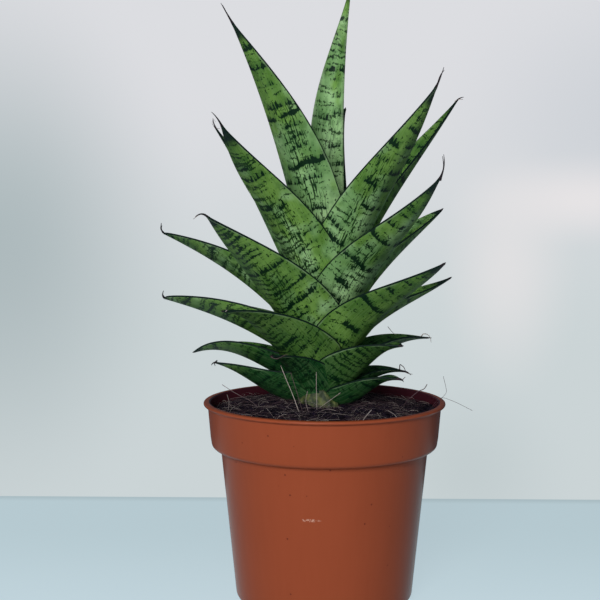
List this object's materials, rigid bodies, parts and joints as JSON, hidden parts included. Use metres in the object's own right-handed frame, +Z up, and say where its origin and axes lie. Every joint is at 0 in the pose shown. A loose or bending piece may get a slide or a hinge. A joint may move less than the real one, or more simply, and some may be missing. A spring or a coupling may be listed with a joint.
{
  "type": "potted snake plant",
  "caption": "Young snake plant with folded, dark-banded leaves in spiral ranks round a short stem, growing in soil in a round terracotta-coloured plastic nursery pot.",
  "frame": {"origin": "middle of the pot's underside, on the surface that the pot stands on", "axes": "+Z up along the pot's axis; the picture looks along +Y, with +X to the right"},
  "size_m": [0.1572, 0.1552, 0.3119],
  "materials": {
    "pot_plastic": "satin terracotta-coloured plastic",
    "soil": "dry dark compost with pale fibres",
    "stem": "pale yellow-green, matt",
    "leaf": "waxy green blade with dark zigzag cross bands"
  },
  "bodies": {
    "root": {"leaf_01_back": "leaf", "leaf_02_front_left": "leaf", "leaf_03_right": "leaf", "leaf_04_left": "leaf", "leaf_05_front_right": "leaf", "leaf_06_back": "leaf", "leaf_07_front_left": "leaf", "leaf_08_right": "leaf", "leaf_09_left": "leaf", "leaf_10_front_right": "leaf", "leaf_11_back": "leaf", "leaf_12_front_left": "leaf", "leaf_13_right": "leaf", "leaf_14_left": "leaf", "leaf_15_front_right": "leaf", "leaf_16_back": "leaf", "leaf_17_front_left": "leaf", "leaf_18_right": "leaf", "leaf_19_left": "leaf", "leaf_20_front_right": "leaf", "leaf_21_back": "leaf", "leaf_22_front_left": "leaf", "leaf_23_right": "leaf", "leaf_24_left": "leaf", "leaf_25_front_right": "leaf", "pot": "pot_plastic", "soil": "soil", "stem": "stem"}
  },
  "joints": []
}
